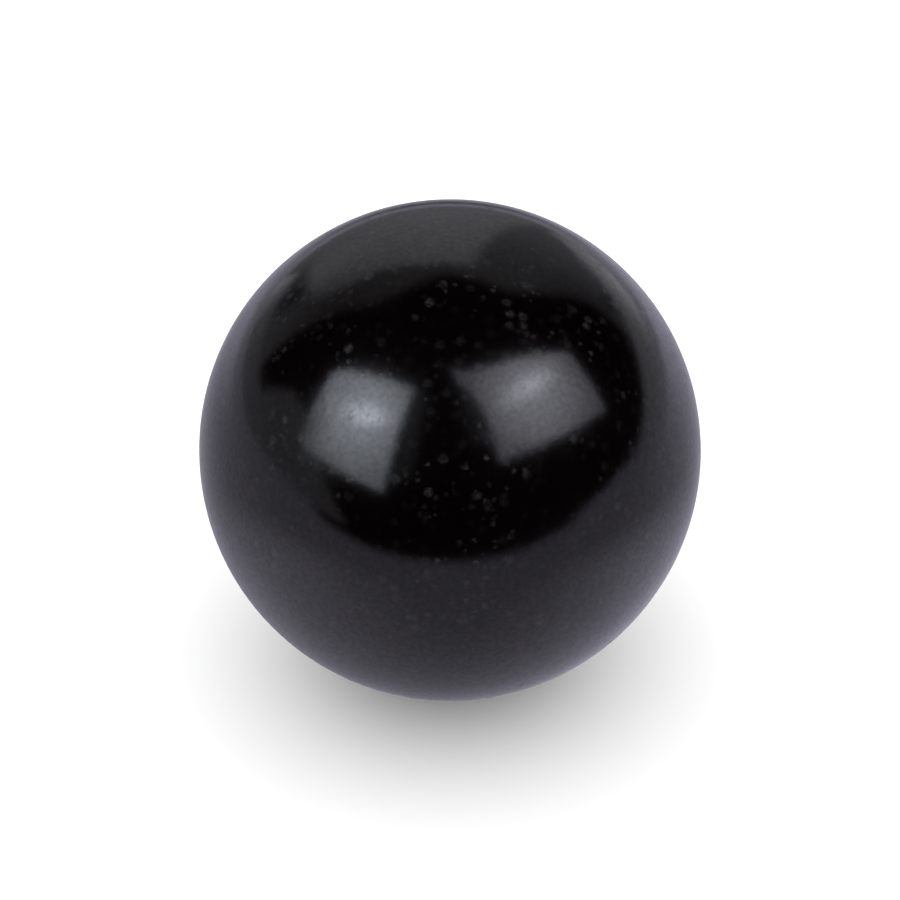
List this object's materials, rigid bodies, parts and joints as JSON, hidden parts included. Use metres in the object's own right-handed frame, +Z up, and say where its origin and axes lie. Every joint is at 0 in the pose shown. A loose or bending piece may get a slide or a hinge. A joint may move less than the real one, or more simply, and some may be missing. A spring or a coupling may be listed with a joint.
{
  "type": "case opening friction ball",
  "caption": "Palm-sized solid ball of tacky black rubber, pressed on a watch's screwed case back and turned by hand so that friction unscrews or tightens it.",
  "frame": {"origin": "centre of the ball", "axes": "+Z up, from the side that is pressed on the case back to the side that the palm covers; the ball is the same about every axis through its centre, so X and Y have no sides of their own"},
  "size_m": [0.065, 0.065, 0.065],
  "materials": {
    "tacky_black_rubber": "gloss"
  },
  "bodies": {
    "root": {"friction_ball": "tacky_black_rubber"}
  },
  "joints": []
}
